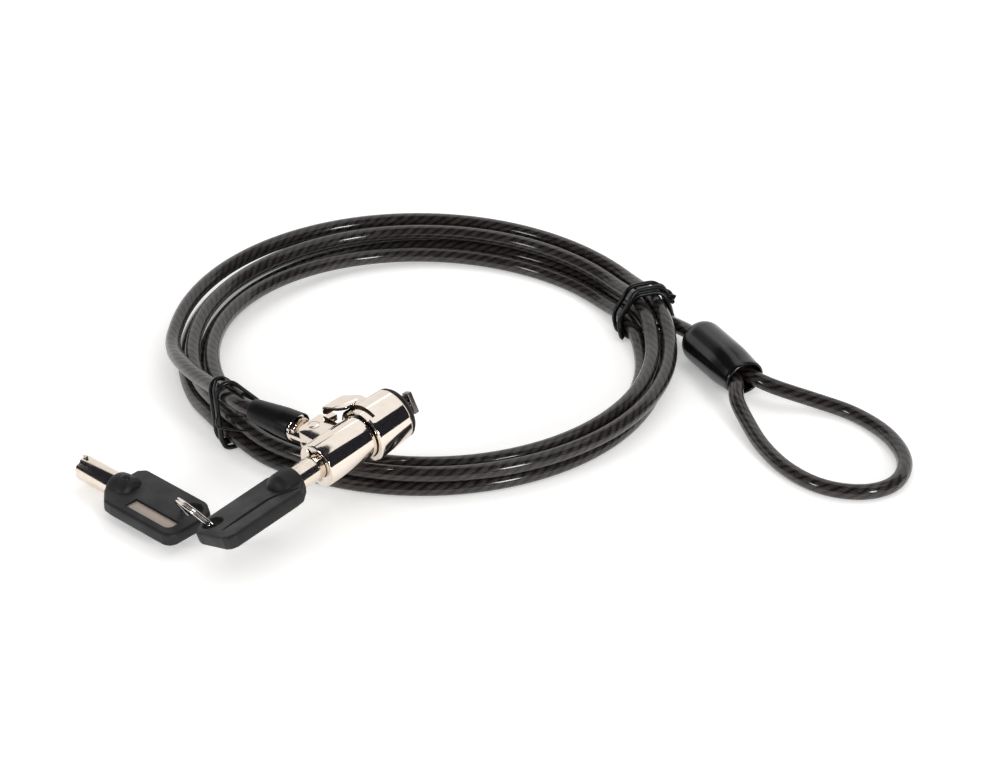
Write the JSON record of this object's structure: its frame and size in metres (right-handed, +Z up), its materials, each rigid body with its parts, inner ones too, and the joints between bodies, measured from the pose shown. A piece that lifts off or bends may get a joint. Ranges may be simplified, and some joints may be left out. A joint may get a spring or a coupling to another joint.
{
  "type": "laptop cable lock",
  "caption": "Coiled sheathed steel cable with an anchor eye at one end and a pivoting T-bar lock head with tubular keys on a split ring at the other.",
  "frame": {"origin": "the middle of the box round the lock head and its keys, at the surface that the part lies on", "axes": "+Z up from the surface; +X along the longer side of the box round the lock head and keys, towards the anchor eye"},
  "size_m": [0.2308, 0.1875, 0.0277],
  "materials": {
    "jacket": "clear smoke sheath over stranded steel, nearly black",
    "black_moulding": "satin black moulded plastic",
    "black_rubber": "black rubber",
    "nickel": "bright nickel plate",
    "steel": "plain steel",
    "brass": "turned brass",
    "badge": "satin plate",
    "tie_wire": "black covered wire"
  },
  "bodies": {
    "cable": {"cable_coil": "jacket", "lock_lead": "jacket", "eye_lead": "jacket", "eye_loop": "jacket", "eye_sleeve": "black_moulding", "eye_crimp": "steel", "left_tie": "tie_wire", "right_tie": "tie_wire", "lock_boot": "black_moulding", "cable_end_fitting": "nickel"},
    "lock": {"lock_housing": "nickel", "pivot_rivet": "steel", "cylinder_shell": "brass", "driver_pins": "brass", "pin_springs": "steel", "shell_pin": "steel", "stop_pin": "steel", "spindle_bush": "brass"},
    "collar": {"slide_collar": "nickel", "nose_cap": "black_rubber", "slot_wings": "black_moulding", "collar_spring": "steel"},
    "rotor": {"cylinder_plug": "brass", "t_bar_spindle": "steel", "key_pins": "brass", "retaining_clip": "steel", "stop_cam": "steel"},
    "key_1": {"key_1_tube": "nickel", "key_1_bow": "black_moulding", "key_1_badge": "badge"},
    "ring": {"key_ring": "steel"},
    "key_2": {"key_2_tube": "nickel", "key_2_bow": "black_moulding", "key_2_badge": "badge"}
  },
  "joints": [
    {"name": "cable_pivot", "type": "hinge", "parent": "cable", "child": "lock", "pos_m": [0.01908, 0.01571, 0.01858], "axis": [-0.0859, -0.0865, 0.9925], "range_deg": [-25, 40]},
    {"name": "collar_slide", "type": "slide", "parent": "lock", "child": "collar", "axis": [-0.6994, -0.7043, -0.1219], "range_m": [0, 0.003], "stiffness_N_per_m": 400, "springref_m": -0.002, "deforming": ["collar_spring"]},
    {"name": "key_turn", "type": "hinge", "parent": "lock", "child": "rotor", "pos_m": [0.01982, 0.00326, 0.01655], "axis": [0.6994, 0.7043, 0.1219], "range_deg": [0, 90]},
    {"name": "key_withdraw", "type": "slide", "parent": "rotor", "child": "key_1", "axis": [-0.6994, -0.7043, -0.1219], "range_m": [0, 0.012]},
    {"name": "ring_swing", "type": "hinge", "parent": "key_1", "child": "ring", "pos_m": [-0.00612, -0.01826, 0.01077], "axis": [-0.6444, -0.0656, 0.7619], "range_deg": [-12, 12]},
    {"name": "key_2_swing", "type": "hinge", "parent": "ring", "child": "key_2", "pos_m": [-0.01006, -0.01074, 0.00809], "axis": [-0.6234, -0.5319, -0.5731], "range_deg": [-12, 12]}
  ]
}
